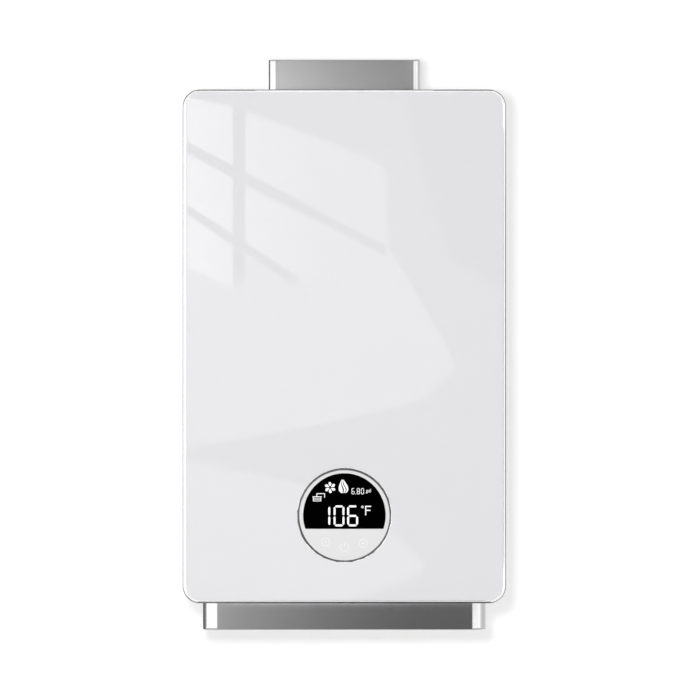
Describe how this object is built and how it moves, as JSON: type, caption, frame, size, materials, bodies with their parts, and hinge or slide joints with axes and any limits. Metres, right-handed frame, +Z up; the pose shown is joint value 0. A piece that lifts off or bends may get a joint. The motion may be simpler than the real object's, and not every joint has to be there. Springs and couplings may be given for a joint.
{
  "type": "wall-hung propane water heater",
  "caption": "Flat wall-hung gas water heater: glass front with a round display, steel case, fan burner, finned copper exchanger and a flue socket on top.",
  "frame": {"origin": "middle of the footprint, at the rim of the skirt under the case", "axes": "+X to the right seen from the front, +Y from the glass to the wall, +Z up"},
  "size_m": [0.34, 0.142, 0.6],
  "materials": {
    "glass_white": "back-painted white glass, polished, bevelled edge",
    "tray_metal": "grey anodised rim",
    "stainless": "stainless sheet, fine brushing",
    "galvanised": "zinc-coated sheet",
    "copper": "bright copper",
    "brass": "machined brass",
    "cast_alloy": "die-cast alloy, matt",
    "steel_bright": "zinc-plated steel",
    "window_black": "black display window",
    "lens_white": "white lens",
    "ring_grey": "dark grey bezel",
    "plastic_black": "black moulding",
    "plastic_white": "white moulding",
    "plastic_blue": "blue moulding",
    "circuit": "green board",
    "gasket": "soft gasket",
    "ceramic": "white glazed insulator",
    "tape": "grey bonding tape"
  },
  "bodies": {
    "heater": {"glass_panel": "glass_white", "panel_tray": "tray_metal", "glass_tape": "tape", "panel_back": "plastic_black", "display_ring": "ring_grey", "display_lens": "lens_white", "display_window": "window_black", "display_light_box": "plastic_black", "display_board": "circuit", "front_cover": "stainless", "rear_shell": "stainless", "floor_plate": "galvanised", "top_plate": "stainless", "wall_bracket": "galvanised", "foot_bracket": "galvanised", "hood_gasket": "gasket", "flue_hood": "stainless", "flue_collar": "stainless", "smoke_collector": "galvanised", "exchanger_shell": "copper", "exchanger_tubes": "copper", "exchanger_fins": "copper", "burner_box": "galvanised", "burner_bars": "stainless", "gas_manifold": "cast_alloy", "gas_nozzles": "brass", "electrodes": "ceramic", "stack_brackets": "galvanised", "blower_housing": "galvanised", "blower_motor": "plastic_black", "gas_pipe": "cast_alloy", "gas_inlet_union": "brass", "gas_valve_body": "cast_alloy", "shutoff_coil": "plastic_black", "modulator_coil": "plastic_black", "shutoff_spring": "steel_bright", "modulator_spring": "steel_bright", "cold_inlet_body": "brass", "flow_sensor_cap": "plastic_blue", "inlet_filter": "plastic_white", "hot_outlet_union": "brass", "cold_pipe": "copper", "hot_pipe": "copper", "cord_gland": "plastic_black", "control_box": "plastic_white", "control_lid": "plastic_white", "control_board": "circuit", "igniter_module": "plastic_black", "pressure_switch": "plastic_black", "pressure_hose": "gasket", "cover_screws": "steel_bright", "panel_screws": "steel_bright", "hood_screws": "steel_bright"},
    "fan": {"impeller": "galvanised", "motor_shaft": "steel_bright"},
    "meter": {"flow_rotor": "plastic_white"},
    "shutoff": {"shutoff_plunger": "steel_bright"},
    "modulator": {"modulator_plunger": "steel_bright"},
    "drain_stem": {"drain_plug": "brass"},
    "drain_grip": {"drain_cap": "plastic_blue"}
  },
  "joints": [
    {"name": "fan_spin", "type": "hinge", "parent": "heater", "child": "fan", "pos_m": [-0.03375, 0, 0.136], "axis": [0, 1, 0], "continuous": true},
    {"name": "meter_spin", "type": "hinge", "parent": "heater", "child": "meter", "pos_m": [0.112, 0.002, 0.07], "axis": [0, 0, 1], "continuous": true},
    {"name": "shutoff_travel", "type": "slide", "parent": "heater", "child": "shutoff", "axis": [0, -1, 0], "range_m": [0, 0.003], "stiffness_N_per_m": 400, "springref_m": -0.004, "deforming": ["shutoff_spring"]},
    {"name": "modulator_travel", "type": "slide", "parent": "heater", "child": "modulator", "axis": [0, -1, 0], "range_m": [0, 0.0025], "stiffness_N_per_m": 400, "springref_m": -0.004, "deforming": ["modulator_spring"]},
    {"name": "drain_travel", "type": "slide", "parent": "heater", "child": "drain_stem", "axis": [0, 0, -1], "range_m": [0, 0.004]},
    {"name": "drain_turn", "type": "hinge", "parent": "drain_stem", "child": "drain_grip", "pos_m": [0.085, 0.002, 0.01], "axis": [0, 0, 1], "range_deg": [0, 720]}
  ],
  "couplings": [
    {"joint": "drain_turn", "follows": "drain_travel", "rad_per_m": 3141.6}
  ]
}
